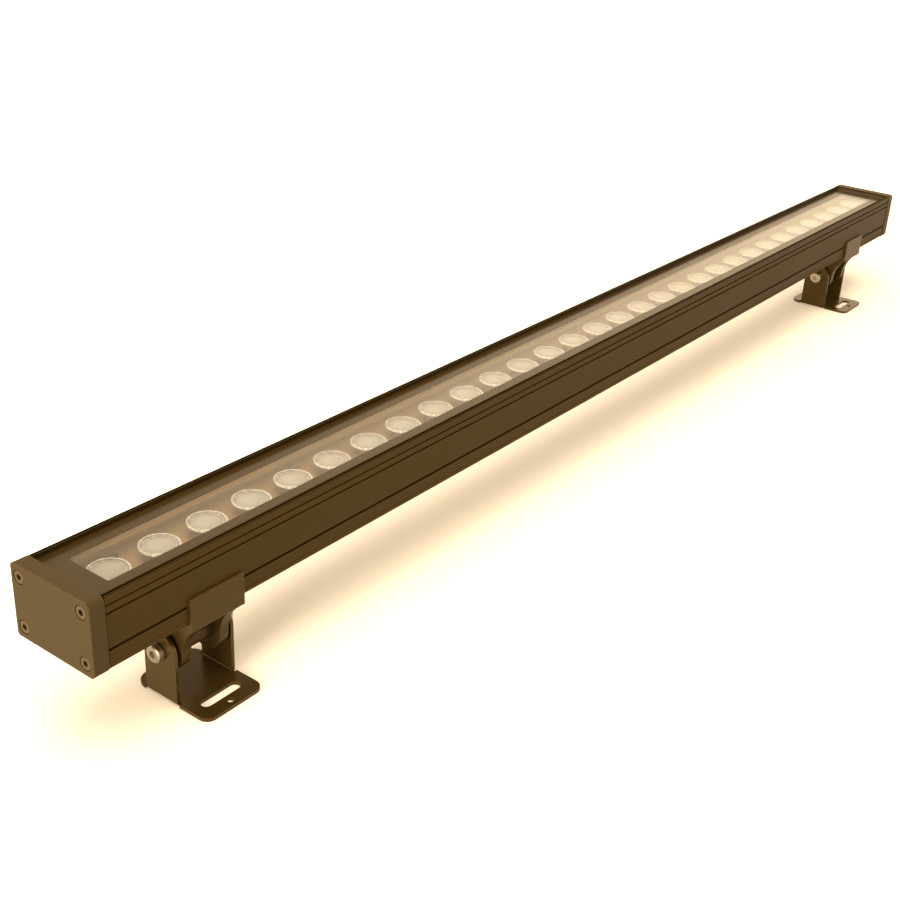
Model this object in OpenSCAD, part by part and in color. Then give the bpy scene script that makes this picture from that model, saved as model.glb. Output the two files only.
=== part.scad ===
// Outdoor wall washer light: a long extruded housing with a glass window over a row of lenses,
// held by two tilting brackets that hook into the grooves along its sides.
// Millimetres, Z up. The origin is on the floor, midway between the two fixing slots.
// X runs along the housing, -Y is the front, and the light leaves upwards.

/* [Housing] */
// whole length over both end caps
body_len = 1000; // [600:10:1500]
// thickness of an end cap
cap_t = 9; // [8:0.5:14]
// depth of an end cap, front to back
cap_w = 58; // [57:0.5:62]
// height of an end cap
cap_h = 42; // [42:0.5:46]
// radius of the cap's long corners
cap_corner = 3.2; // [1.6:0.2:4]
// thickness of the gasket under a cap
gasket_t = 0.8; // [0.5:0.1:1.5]

/* [Window] */
// depth of the glass below the top of the caps
glass_drop = 3.7; // [3.2:0.1:3.8]
// thickness of the glass
glass_t = 4; // [3:0.5:4]
// seal under the glass
seal_t = 0.6; // [0.4:0.1:0.8]

/* [Lenses] */
// distance from one lens to the next
lens_pitch = 32.1; // [28:0.1:32.1]
// radius of a lens rim
lens_r = 10.74; // [9:0.01:11]

/* [Brackets] */
// near end face to the middle of the near bracket
near_inset = 77; // [50:1:240]
// far end face to the middle of the far bracket
far_inset = 90; // [50:1:240]
// pivot height above the floor
pivot_h = 29.7; // [28:0.1:40]
// pivot to the underside of the caps
pivot_drop = 23.2; // [23:0.1:30]
// how far the pivot sits in front of the housing's middle
pivot_front = 6.8; // [0:0.1:9]
// pivot to the line of the fixing slots
slot_front = 22.4; // [20:0.1:23]
// length of a hanger along the housing
hanger_len = 36.5; // [34:0.5:44]
// thickness of a hanger's leg
leg_t = 6; // [5:0.1:7]
// half width of a leg at the pivot, also the radius of its end
leg_half = 12.7; // [10:0.1:13]
// radius of the sweep from a leg into the saddle
flare_r = 24; // [22:0.5:27]
// thickness of the foot's sheet
sheet_t = 2; // [1.5:0.1:3]
// half width of a foot's ear, also the radius of its top
ear_half = 11.8; // [11.5:0.05:13.5]
// overall length of a fixing slot
slot_len = 26.5; // [16:0.5:28]
// width of a fixing slot
slot_w = 6.5; // [5:0.1:8]

/* [Pivot hardware] */
// radius of the pivot bolt's shank
bolt_r = 3; // [2.5:0.05:3]
// radius of the pivot bolt's head
bolt_head_r = 5; // [4.5:0.1:5.5]
// height of the pivot bolt's head
bolt_head_h = 3.4; // [3:0.1:6]
// thickness of the lock washer under the head
lock_t = 1.2; // [1:0.1:2]

/* [Hidden] */
$fn = 0;
$fa = 4;
$fs = 0.4;
eps = 0.01;
over = 1;

// clearances
run_gap = 0.05;
bolt_gap = 0.2;
slide_gap = 0.3;
seat_gap = 0.2;

// housing frame: x from the near cap's face, y from the middle, z from the underside of the caps
body_y = slot_front + pivot_front;
body_z = pivot_h + pivot_drop;
foot_span = body_len - near_inset - far_inset;
near_x = -foot_span / 2;
far_x = foot_span / 2;
body_x = near_x - near_inset;

// profile
cap_lip_y = 0.6;
cap_lip_z = 0.9;
prof_half = cap_w / 2 - cap_lip_y;
prof_low = cap_lip_z;
prof_top_drop = 0.7;
prof_top = cap_h - prof_top_drop;
prof_corner = 1.5;
prof_x0 = cap_t + gasket_t;
prof_len = body_len - 2 * prof_x0;
shelf_z = cap_h - glass_drop;
seat_z = shelf_z - glass_t - seal_t;
wall_top_w = 3.1;
recess_half = prof_half - wall_top_w;
seat_side = 8.4;
seat_half = prof_half - seat_side;
ledge_w = 2.2;
ledge_half = seat_half - ledge_w;
ledge_t = 3.4;
seal_end = 3;
ledge_under = seat_z - ledge_t;
wall_t = 2.8;
chamber_half = prof_half - wall_t;
light_chamber_h = 12.3;
web_top = seat_z - light_chamber_h;
web_t = 2.5;
web_low = web_top - web_t;
floor_t = 2.2;
floor_top = prof_low + floor_t;
hook_wall = 1.8;
lower_half = chamber_half - hook_wall;
lip_groove_w = 1.3;
lip_groove_d = 2.2;
lip_groove_y = prof_half - 2.5;

// side grooves: height of the lower edge above the underside of the caps, height, depth
upper_groove_drop = 6.5;
middle_groove_drop = 11.1;
upper_groove = [cap_h - upper_groove_drop, 1.4, 1.2];
middle_groove = [cap_h - middle_groove_drop, 1.6, 1.4];
hook_groove = [10.9, 1.8, 2.4];
fine_groove = [4, 0.7, 0.5];
hook_step = 1.5;
lower_step = hook_groove[0] + hook_groove[1] + hook_step;

// cap screws, the size of M4 socket screws
cap_screw_in = 6.1;
cap_screw_y = cap_w / 2 - cap_screw_in;
cap_screw_low = 6.85;
cap_screw_top = cap_h - cap_screw_low;
cap_screw_r = 2;
cap_screw_len = 16;
cap_head_r = 3.5;
cap_head_h = 4;
cap_sink_r = 4;
cap_sink_d = 4.2;
cap_hole_r = 2.25;
cap_socket_af = 3;
cap_socket_d = 2;
port_r = cap_screw_r + run_gap;
port_side = 1.65;
port_over = 1.1;
corner_block_y = cap_screw_y - port_r - port_side;
corner_block_z = cap_screw_low + port_r + port_over;

// cap pocket behind the outer face
cap_face_t = 4;
pocket_d = cap_t - cap_face_t;
pocket_side = 4.15;
pocket_half = cap_screw_y - cap_hole_r - pocket_side;
pocket_low = 5.5;
pocket_drop = 0.4;
pocket_top = seat_z - pocket_drop;
pocket_corner = 3;
cap_edge = 0.4;
gasket_in = 1;
gasket_half = prof_half - gasket_in;

// light boards and lenses
board_count = 3;
board_end = 8;
per_board = floor((prof_len - 2 * board_end) / (board_count * lens_pitch));
lens_count = per_board * board_count;
lens_x0 = (body_len - (lens_count - 1) * lens_pitch) / 2;
board_t = 1.6;
board_side = 5.6;
board_half = chamber_half - board_side;
board_gap = 0.6;
board_len = per_board * lens_pitch - board_gap;
board_top = web_top + board_t;
led_side = 3.5;
led_h = 0.6;
led_dome_r = 1.35;
seat_in_r = 3.2;
seat_out_r = 7.5;
seat_base_h = 1;
seat_wall_h = 2.2;
seat_wall_r = 6.5;
peg_r = 0.75;
peg_x = 5.8;
peg_len = 1.2;
peg_gap = 0.1;
lens_low_r = 4.2;
lens_bowl_r = 12;
lens_bowl_y = -1;
lens_bowl_z = 11.81;
lens_flange_z = 6.8;
lens_rim_z = 8;
lens_rim_w = 1.2;
lens_dish = 0.6;
lens_dome_r = 8.6;
lens_dome_h = 1.5;
lens_hole_r = 2.5;
lens_hole_d = 3.6;

// board screws, the size of M3 pan head screws
board_screw_in = 3.8;
board_screw_y = board_half - board_screw_in;
board_screw_r = 1.5;
board_hole_r = board_screw_r + 0.1;
board_head_r = 2.8;
board_head_h = 1.8;
board_screw_end = 0.6;
board_screw_len = web_t + board_t + board_screw_end;
board_screw_at = [0, floor(per_board / 2) - 1, per_board - 2];

// links between boards
link_len = 12;
link_w = 6;
link_h = 3.4;
link_in = 8.5;
link_y = board_half - link_in;

// driver, terminals and leads
driver_len = 260;
driver_side = 4.2;
driver_half = corner_block_y - driver_side;
driver_z = floor_top;
pad_t = 1.8;
driver_h = web_low - driver_z - pad_t;
driver_corner = 1.5;
driver_end_t = 3;
driver_groove_h = 1.5;
driver_groove_d = 0.8;
pad_len = 30;
pad_in = 20;
pad_side = 4;
pad_half = driver_half - pad_side;
term_len = 16;
term_half = driver_half;
term_over = 2.3;
term_h = web_low - floor_top - term_over;
term_pitch = 8;
term_hole_r = 1.8;
term_hole_z = 3.5;
term_screw_in = 4;
term_screw_d = 3;
lead_r = 0.9;
lead_gap = 0.1;
lead_y = 3;
lead_side = 4.5;
lead_mid_y = lead_side - driver_half;
lead_bend = 3;
plug_len = 5.5;
plug_w = 9;
plug_h = 4.4;
plug_d = 3;
grommet_back = 2.3;
grommet_x = lens_x0 + (lens_count - 2.5) * lens_pitch - grommet_back;
driver_to_grommet = 9;
driver_x = grommet_x - driver_to_grommet - 2 * driver_end_t - driver_len;
term_x = grommet_x + driver_to_grommet;
grommet_in_r = 5;
grommet_out_r = 6.4;
grommet_lip = 0.9;
grommet_wall = 0.5;
grommet_hole_r = grommet_in_r + grommet_wall + lead_gap;
grommet_bore_gap = 0.3;
grommet_bore_r = lead_y + lead_r + grommet_bore_gap;

// cable gland in the far cap
gland_z = cap_h / 2;
gland_thread_r = 6;
gland_hole_r = gland_thread_r + 0.1;
gland_hex_r = 15 / sqrt(3);
gland_ring_r = 7.2;
gland_ring_t = 0.8;
gland_flange_t = 4;
gland_neck_len = 3.6;
gland_neck_r = 5.9;
gland_bore_r = 3.9;
gland_lock_t = 2.8;
gland_nut_hex_t = 5;
gland_nut_len = 10.2;
gland_nut_gap = 0.2;
gland_nut_r = 7.4;
gland_nut_end = 2.2;
gland_nut_chamfer = 1.8;
gland_mouth_r = 3.8;
gland_seal_len = 4.6;
gland_seal_in_r = 3.4;
gland_thread_end = 0.4;
gland_neck_gap = 0.1;

// foot
foot_gap = 0.2;
foot_in = hanger_len / 2 + foot_gap;
foot_out = foot_in + sheet_t;
foot_tip = 11.9;
foot_heel = 15;
foot_front = slot_front + foot_tip;
foot_back = pivot_front + foot_heel;
foot_bend = 2.5;
foot_bend_in = 0.5;
front_corner = 6;
back_corner = 8;
notch_w = 1.4;
notch_d = 2.8;
ear_hole_r = bolt_r + bolt_gap;
pin_hole_r = 2.1;
pin_offset = 7.3;
pin_hole_y = -(slot_front + pin_offset);

// hanger, in the pivot's frame
plate_t = 1.5;
plate_in = prof_half + slide_gap;
plate_out = plate_in + plate_t;
saddle_depth = 3.6;
web_under = pivot_drop - saddle_depth;
saddle_top = pivot_drop + prof_low;
plate_rise = 16.3;
plate_top = pivot_drop + plate_rise;
plate_round = 0.4;
hook_gap = 0.25;
hook_end_gap = 0.6;
hook_low = pivot_drop + hook_groove[0] + hook_gap;
hook_h = hook_groove[1] - 2 * hook_gap;
hook_tip = prof_half - hook_groove[2] + hook_end_gap;
saddle_corner = 1;
leg_inset = 2.25;
leg_set = 1.4;
leg_out = hanger_len / 2 - leg_inset;
leg_in = leg_out - leg_t;
outer_boss_r = 8;
inner_boss_r = 6.5;
inner_boss_len = 7;
leg_hole_r = bolt_r + run_gap;
spacer_r = 6.3;
spacer_len = 2 * (leg_in - inner_boss_len);
clamp_in = 14;
clamp_y = pivot_front + clamp_in;
clamp_r = 2.5;
clamp_len = 6;
clamp_socket_af = 2.5;
clamp_socket_d = 2.5;

// pivot hardware
lock_r = 5.3;
lock_slit = 0.9;
lock_gap = 0.1;
nut_washer_r = 6;
nut_washer_t = 1.2;
nut_af = 10;
nut_t = 5;
bolt_tip = 2;
bolt_socket_af = 4;
bolt_socket_d = 2.2;
bolt_edge = 0.6;

// helpers

// extrude a drawing of (y, z) along x
module along_x(len) {
  rotate([90, 0, 90])
    linear_extrude(len)
      children();
}

// extrude a drawing of (y, z) along x, half to each side
module both_x(len) {
  translate([-len / 2, 0, 0])
    along_x(len)
      children();
}

// a cylinder along x from the origin
module rod_x(r, len) {
  rotate([0, 90, 0])
    cylinder(r = r, h = len);
}

// a hexagonal prism along x, by its width across flats, with corners up and down
module hex_x(af, len) {
  rotate([0, 90, 0])
    cylinder(r = af / sqrt(3), h = len, $fn = 6);
}

// a rectangle with round corners between two corners
module round_box(y0, y1, z0, z1, r) {
  translate([y0 + r, z0])
    square([y1 - y0 - 2 * r, z1 - z0]);
  translate([y0, z0 + r])
    square([y1 - y0, z1 - z0 - 2 * r]);
  for (y = [y0 + r, y1 - r], z = [z0 + r, z1 - r])
    translate([y, z])
      circle(r);
}

// a rectangle between two corners
module box2(y0, y1, z0, z1) {
  translate([y0, z0])
    square([y1 - y0, z1 - z0]);
}

module at_body() {
  translate([body_x, body_y, body_z])
    children();
}

module at_pivot(x) {
  translate([x, slot_front, pivot_h])
    children();
}

// both sides of the housing
module both_sides() {
  children();
  mirror([1, 0])
    children();
}

// the far end is the near end turned over in x
module at_far_end() {
  translate([body_len, 0, 0])
    mirror([1, 0, 0])
      children();
}

// housing

module side_groove(g) {
  box2(prof_half - g[2], prof_half + over, g[0], g[0] + g[1]);
}

module profile_section() {
  difference() {
    round_box(-prof_half, prof_half, prof_low, prof_top, prof_corner);
    box2(-recess_half, recess_half, shelf_z, prof_top + over);
    box2(-seat_half, seat_half, seat_z, shelf_z + over);
    box2(-ledge_half, ledge_half, ledge_under - over, seat_z + over);
    box2(-chamber_half, chamber_half, web_top, ledge_under);
    box2(-corner_block_y, corner_block_y, floor_top, web_low);
    both_sides() {
      box2(0, lower_half, corner_block_z, web_low);
      box2(0, chamber_half, lower_step, web_low);
      box2(lip_groove_y, lip_groove_y + lip_groove_w, prof_top - lip_groove_d, prof_top + over);
      side_groove(upper_groove);
      side_groove(middle_groove);
      side_groove(hook_groove);
      side_groove(fine_groove);
      for (z = [cap_screw_low, cap_screw_top])
        translate([cap_screw_y, z])
          circle(port_r);
    }
  }
}

module profile() {
  color([0.36, 0.28, 0.16])
    at_body()
      difference() {
        translate([prof_x0, 0, 0])
          along_x(prof_len)
            profile_section();
        board_holes(board_screw_r + run_gap, web_low - over, web_t + 2 * over);
        translate([grommet_x, lead_mid_y, web_low - over])
          cylinder(r = grommet_hole_r, h = web_t + 2 * over);
      }
}

// outline of a cap with its four outer edges broken
module cap_block() {
  intersection() {
    along_x(cap_t)
      round_box(-cap_w / 2, cap_w / 2, 0, cap_h, cap_corner);
    translate([0, cap_w / 2 + over, 0])
      rotate([90, 0, 0])
        linear_extrude(cap_w + 2 * over)
          polygon([
            [cap_edge, 0], [cap_t, 0], [cap_t, cap_h],
            [cap_edge, cap_h], [0, cap_h - cap_edge], [0, cap_edge]
          ]);
    translate([0, 0, -over])
      linear_extrude(cap_h + 2 * over)
        polygon([
          [cap_edge, -cap_w / 2], [cap_t, -cap_w / 2], [cap_t, cap_w / 2],
          [cap_edge, cap_w / 2], [0, cap_w / 2 - cap_edge], [0, cap_edge - cap_w / 2]
        ]);
  }
}

module at_cap_screws() {
  for (y = [-cap_screw_y, cap_screw_y], z = [cap_screw_low, cap_screw_top])
    translate([0, y, z])
      children();
}

module end_cap() {
  difference() {
    cap_block();
    translate([cap_t - pocket_d, 0, 0])
      along_x(pocket_d + over)
        round_box(-pocket_half, pocket_half, pocket_low, pocket_top, pocket_corner);
    at_cap_screws() {
      translate([-over, 0, 0])
        rod_x(cap_hole_r, cap_t + 2 * over);
      translate([-over, 0, 0])
        rod_x(cap_sink_r, cap_sink_d + over);
    }
  }
}

module near_end_cap() {
  color([0.5, 0.41, 0.28])
    at_body()
      end_cap();
}

module far_end_cap() {
  color([0.5, 0.41, 0.28])
    at_body()
      difference() {
        at_far_end()
          end_cap();
        translate([body_len - cap_t - over, 0, gland_z])
          rod_x(gland_hole_r, cap_t + 2 * over);
      }
}

module cap_gasket() {
  translate([cap_t, 0, 0])
    along_x(gasket_t)
      difference() {
        round_box(-gasket_half, gasket_half, prof_low + gasket_in, prof_top - gasket_in, gasket_in);
        round_box(-pocket_half, pocket_half, pocket_low, pocket_top, pocket_corner);
        for (y = [-cap_screw_y, cap_screw_y], z = [cap_screw_low, cap_screw_top])
          translate([y, z])
            circle(cap_hole_r);
      }
}

module near_cap_gasket() {
  color([0.1, 0.09, 0.08])
    at_body()
      cap_gasket();
}

module far_cap_gasket() {
  color([0.1, 0.09, 0.08])
    at_body()
      at_far_end()
        cap_gasket();
}

module cap_screws() {
  at_cap_screws()
    difference() {
      union() {
        translate([cap_sink_d - cap_head_h, 0, 0])
          rod_x(cap_head_r, cap_head_h);
        translate([cap_sink_d - eps, 0, 0])
          rod_x(cap_screw_r, cap_screw_len + eps);
      }
      translate([-over, 0, 0])
        hex_x(cap_socket_af, cap_sink_d - cap_head_h + cap_socket_d + over);
    }
}

module near_cap_screws() {
  color([0.78, 0.72, 0.6])
    at_body()
      cap_screws();
}

module far_cap_screws() {
  color([0.78, 0.72, 0.6])
    at_body()
      at_far_end()
        cap_screws();
}

// window

module glass() {
  color([0.8, 0.85, 0.85, 0.4])
    at_body()
      translate([prof_x0 + seat_gap, 0, seat_z + seal_t])
        along_x(prof_len - 2 * seat_gap)
          box2(seat_gap - seat_half, seat_half - seat_gap, 0, glass_t);
}

module glass_seal() {
  color([0.12, 0.11, 0.1])
    at_body()
      translate([prof_x0 + seat_gap, 0, seat_z])
        difference() {
          translate([0, seat_gap - seat_half, 0])
            cube([prof_len - 2 * seat_gap, 2 * (seat_half - seat_gap), seal_t]);
          translate([seal_end, -ledge_half, -over])
            cube([prof_len - 2 * seat_gap - 2 * seal_end, 2 * ledge_half, seal_t + 2 * over]);
        }
}

// light boards

function board_x(k) = lens_x0 + (k * per_board - 0.5) * lens_pitch + board_gap / 2;

module at_lenses(k) {
  for (i = [0 : per_board - 1])
    translate([lens_x0 + (k * per_board + i) * lens_pitch, 0, board_top])
      children();
}

// screw places of one board, between two lenses, at both long edges
module at_board_screws(k) {
  for (i = board_screw_at, y = [-board_screw_y, board_screw_y])
    translate([lens_x0 + (k * per_board + i + 0.5) * lens_pitch, y, 0])
      children();
}

module board_holes(r, z, h) {
  for (k = [0 : board_count - 1])
    at_board_screws(k)
      translate([0, 0, z])
        cylinder(r = r, h = h);
}

module led_board(k) {
  color([0.9, 0.88, 0.82])
    at_body()
      difference() {
        translate([board_x(k), -board_half, web_top])
          cube([board_len, 2 * board_half, board_t]);
        at_board_screws(k)
          translate([0, 0, web_top - over])
            cylinder(r = board_hole_r, h = board_t + 2 * over);
        at_lenses(k)
          for (x = [-peg_x, peg_x])
            translate([x, 0, -peg_len - peg_gap])
              cylinder(r = peg_r + peg_gap, h = peg_len + over);
        translate([grommet_x, lead_mid_y, web_top - over])
          cylinder(r = grommet_out_r + seat_gap, h = board_t + 2 * over);
      }
}

module leds(k) {
  color([0.95, 0.85, 0.4])
    at_body()
      at_lenses(k) {
        translate([-led_side / 2, -led_side / 2, 0])
          cube([led_side, led_side, led_h]);
        translate([0, 0, led_h])
          rotate_extrude()
            intersection() {
              circle(led_dome_r);
              square(led_dome_r);
            }
      }
}

module lens_seats(k) {
  color([0.85, 0.82, 0.75])
    at_body()
      at_lenses(k) {
        rotate_extrude()
          difference() {
            box2(seat_in_r, seat_out_r, 0, seat_wall_h);
            box2(0, seat_wall_r, seat_base_h, seat_wall_h + over);
          }
        for (x = [-peg_x, peg_x])
          translate([x, 0, -peg_len])
            cylinder(r = peg_r, h = peg_len + eps);
      }
}

// half section of a lens: a bowl under a flange with a raised rim and a domed middle
module lens_section() {
  dome_ball = (lens_dome_r * lens_dome_r + lens_dome_h * lens_dome_h) / (2 * lens_dome_h);
  dish_z = lens_rim_z - lens_dish;
  difference() {
    union() {
      intersection() {
        translate([lens_bowl_y, lens_bowl_z])
          circle(lens_bowl_r);
        box2(0, lens_r, seat_base_h, lens_flange_z + eps);
      }
      box2(0, lens_r, lens_flange_z, dish_z);
      box2(lens_r - lens_rim_w, lens_r, dish_z - eps, lens_rim_z);
      intersection() {
        translate([0, dish_z + lens_dome_h - dome_ball])
          circle(dome_ball);
        box2(0, lens_dome_r, dish_z - eps, dish_z + lens_dome_h + over);
      }
    }
    box2(-over, lens_hole_r, 0, seat_base_h + lens_hole_d);
  }
}

module lenses(k) {
  color([0.9, 0.86, 0.75, 0.8])
    at_body()
      at_lenses(k)
        rotate_extrude()
          lens_section();
}

module led_board_1() { led_board(0); }
module led_board_2() { led_board(1); }
module led_board_3() { led_board(2); }
module leds_1() { leds(0); }
module leds_2() { leds(1); }
module leds_3() { leds(2); }
module lens_seats_1() { lens_seats(0); }
module lens_seats_2() { lens_seats(1); }
module lens_seats_3() { lens_seats(2); }
module lenses_1() { lenses(0); }
module lenses_2() { lenses(1); }
module lenses_3() { lenses(2); }

module board_screws() {
  color([0.75, 0.7, 0.6])
    at_body()
      for (k = [0 : board_count - 1])
        at_board_screws(k) {
          translate([0, 0, board_top])
            cylinder(r = board_head_r, h = board_head_h);
          translate([0, 0, board_top - board_screw_len])
            cylinder(r = board_screw_r, h = board_screw_len + eps);
        }
}

module board_links() {
  color([0.92, 0.9, 0.85])
    at_body()
      for (k = [1 : board_count - 1], y = [-link_y, link_y])
        translate([board_x(k) - board_gap / 2 - link_len / 2, y - link_w / 2, board_top])
          cube([link_len, link_w, link_h]);
}

// driver and leads

module driver_case() {
  color([0.7, 0.68, 0.62])
    at_body()
      translate([driver_x, 0, 0])
        along_x(driver_len)
          difference() {
            round_box(-driver_half, driver_half, driver_z, driver_z + driver_h, driver_corner);
            both_sides()
              translate([driver_half - driver_groove_d, driver_z + (driver_h - driver_groove_h) / 2])
                square([driver_groove_d + over, driver_groove_h]);
          }
}

module driver_ends() {
  color([0.15, 0.15, 0.15])
    at_body()
      for (x = [driver_x - driver_end_t, driver_x + driver_len])
        translate([x, 0, 0])
          along_x(driver_end_t)
            difference() {
              round_box(-driver_half, driver_half, driver_z, driver_z + driver_h, driver_corner);
              for (y = [-lead_y, lead_y])
                translate([lead_mid_y + y, driver_z + driver_h / 2])
                  circle(lead_r + lead_gap);
            }
}

module driver_pads() {
  color([0.2, 0.19, 0.18])
    at_body()
      for (x = [driver_x + pad_in, driver_x + driver_len - pad_in - pad_len])
        translate([x, -pad_half, driver_z + driver_h])
          cube([pad_len, 2 * pad_half, pad_t]);
}

module terminal_block() {
  color([0.88, 0.86, 0.8])
    at_body()
      difference() {
        translate([term_x, -term_half, floor_top])
          cube([term_len, 2 * term_half, term_h]);
        for (y = [-term_pitch, 0, term_pitch])
          translate([term_x - over, y, floor_top + term_hole_z])
            rod_x(term_hole_r, term_len + 2 * over);
        for (y = [-term_pitch, 0, term_pitch], x = [term_screw_in, term_len - term_screw_in])
          translate([term_x + x, y, floor_top + term_h - term_screw_d])
            cylinder(r = term_hole_r, h = term_screw_d + over);
      }
}

module web_grommet() {
  color([0.15, 0.14, 0.13])
    at_body()
      translate([grommet_x, lead_mid_y, 0])
        rotate_extrude() {
          box2(grommet_bore_r, grommet_in_r + grommet_wall, web_low - grommet_lip, web_top + grommet_lip);
          box2(grommet_bore_r, grommet_out_r, web_low - grommet_lip, web_low);
          box2(grommet_bore_r, grommet_out_r, web_top, web_top + grommet_lip);
        }
}

// two leads that leave the driver, turn up through the grommet and lie down on the board
module board_leads() {
  color([0.6, 0.15, 0.1])
    at_body()
      for (y = [-lead_y, lead_y])
        translate([0, lead_mid_y + y, 0])
          lead_run();
}

module lead_run() {
  low = driver_z + driver_h / 2;
  high = board_top + plug_h / 2;
  start = driver_x + driver_len;
  turn = grommet_x - lead_bend;
  translate([start, 0, low])
    rod_x(lead_r, turn - start);
  translate([turn, 0, low + lead_bend])
    rotate([90, 0, 0])
      rotate([0, 0, -90])
        rotate_extrude(angle = 90)
          translate([lead_bend, 0])
            circle(lead_r);
  translate([grommet_x, 0, low + lead_bend - eps])
    cylinder(r = lead_r, h = high - lead_bend - low - lead_bend + 2 * eps);
  translate([grommet_x + lead_bend, 0, high - lead_bend])
    rotate([90, 0, 0])
      rotate([0, 0, 90])
        rotate_extrude(angle = 90)
          translate([lead_bend, 0])
            circle(lead_r);
  translate([grommet_x + lead_bend - eps, 0, high])
    rod_x(lead_r, over + plug_d);
}

// the plug on the board that takes both leads
module board_plug() {
  color([0.92, 0.9, 0.85])
    at_body()
      translate([grommet_x + lead_bend + over, lead_mid_y, board_top])
        difference() {
          translate([0, -plug_w / 2, 0])
            cube([plug_len, plug_w, plug_h]);
          for (y = [-lead_y, lead_y])
            translate([-over, y, plug_h / 2])
              rod_x(lead_r + lead_gap, plug_d + over + lead_gap);
        }
}

// cable gland

module at_gland(x) {
  at_body()
    translate([body_len + x, 0, gland_z])
      children();
}

module gland_ring() {
  color([0.1, 0.1, 0.1])
    at_gland(0)
      difference() {
        rod_x(gland_ring_r, gland_ring_t);
        translate([-over, 0, 0])
          rod_x(gland_hole_r, gland_ring_t + 2 * over);
      }
}

module gland_body() {
  inner = cap_face_t + gland_lock_t + gland_thread_end;
  outer = gland_ring_t + gland_flange_t + gland_neck_len;
  color([0.7, 0.66, 0.58])
    at_gland(0)
      difference() {
        union() {
          translate([-inner, 0, 0])
            rod_x(gland_thread_r, inner + gland_ring_t + eps);
          translate([gland_ring_t, 0, 0])
            rotate([0, 90, 0])
              cylinder(r = gland_hex_r, h = gland_flange_t, $fn = 6);
          translate([gland_ring_t + gland_flange_t - eps, 0, 0])
            rod_x(gland_neck_r, gland_neck_len);
        }
        translate([-inner - over, 0, 0])
          rod_x(gland_bore_r, inner + outer + 2 * over);
      }
}

module gland_seal() {
  x0 = gland_ring_t + gland_flange_t + gland_neck_len;
  color([0.1, 0.1, 0.1])
    at_gland(x0)
      difference() {
        rod_x(gland_neck_r - gland_nut_gap, gland_seal_len);
        translate([-over, 0, 0])
          rod_x(gland_seal_in_r, gland_seal_len + 2 * over);
      }
}

module gland_nut() {
  x0 = gland_ring_t + gland_flange_t + gland_nut_gap;
  color([0.7, 0.66, 0.58])
    at_gland(x0)
      difference() {
        union() {
          rotate([0, 90, 0])
            cylinder(r = gland_hex_r, h = gland_nut_hex_t, $fn = 6);
          rotate([0, 90, 0])
            rotate_extrude()
              polygon([
                [0, gland_nut_hex_t - eps], [gland_nut_r, gland_nut_hex_t - eps],
                [gland_nut_r - 0.5, gland_nut_len - gland_nut_chamfer],
                [gland_nut_r - gland_nut_chamfer, gland_nut_len], [0, gland_nut_len]
              ]);
        }
        translate([-over, 0, 0])
          rod_x(gland_neck_r + gland_neck_gap, gland_nut_len - gland_nut_end + over);
        rod_x(gland_mouth_r, gland_nut_len + over);
      }
}

module gland_lock_nut() {
  color([0.7, 0.66, 0.58])
    at_gland(pocket_d - cap_t - gland_lock_t)
      difference() {
        rotate([0, 90, 0])
          cylinder(r = gland_hex_r, h = gland_lock_t, $fn = 6);
        translate([-over, 0, 0])
          rod_x(gland_thread_r + run_gap, gland_lock_t + 2 * over);
      }
}

// foot, in the pivot's frame

module ear_outline() {
  circle(ear_half);
  box2(-ear_half, ear_half, -pivot_h, 0);
}

// a bent channel of (x, z) with round outer bends
module foot_channel() {
  top = ear_half + over;
  difference() {
    union() {
      round_box(-foot_out, foot_out, -pivot_h, top, foot_bend);
      box2(-foot_out, foot_out, 0, top);
    }
    round_box(-foot_in, foot_in, sheet_t - pivot_h, top + 5, foot_bend_in);
  }
}

module foot_plan() {
  difference() {
    box2(-foot_out, foot_out, -foot_front, foot_back);
    for (s = [-1, 1]) {
      translate([s * (foot_out - front_corner), -foot_front + front_corner])
        corner_off(s, -1, front_corner);
      translate([s * (foot_out - back_corner), foot_back - back_corner])
        corner_off(s, 1, back_corner);
    }
    for (x = [-foot_out - over, foot_out - notch_d])
      box2(x, x + notch_d + over, -ear_half - notch_w, ear_half + notch_w);
    translate([0, -slot_front])
      round_box(-slot_len / 2, slot_len / 2, -slot_w / 2, slot_w / 2, slot_w / 2 - eps);
    translate([0, pin_hole_y])
      circle(pin_hole_r);
  }
}

// what is cut away outside a round corner whose centre is the origin
module corner_off(sx, sy, r) {
  difference() {
    box2(min(0, sx * (r + over)), max(0, sx * (r + over)), min(0, sy * (r + over)), max(0, sy * (r + over)));
    circle(r);
  }
}

module foot(x) {
  color([0.42, 0.33, 0.2])
    at_pivot(x)
      difference() {
        union() {
          translate([0, 0, -pivot_h])
            linear_extrude(sheet_t)
              foot_plan();
          intersection() {
            translate([0, ear_half, 0])
              rotate([90, 0, 0])
                linear_extrude(2 * ear_half)
                  foot_channel();
            both_x(2 * foot_out + 2 * over)
              ear_outline();
          }
        }
        translate([-foot_out - over, 0, 0])
          rod_x(ear_hole_r, 2 * (foot_out + over));
      }
}

// hanger, in the pivot's frame

module hook_outline() {
  box2(hook_tip, plate_in + eps, hook_low, hook_low + hook_h);
}

module saddle_outline() {
  translate([pivot_front, 0])
    difference() {
      union() {
        difference() {
          box2(-plate_out, plate_out, web_under, plate_top);
          box2(-plate_in, plate_in, saddle_top, plate_top + over);
        }
        both_sides()
          hook_outline();
      }
      both_sides() {
        translate([plate_out - saddle_corner, web_under + saddle_corner])
          corner_off(1, -1, saddle_corner);
        translate([plate_out - plate_round, plate_top - plate_round])
          corner_off(1, 1, plate_round);
      }
    }
}

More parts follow.
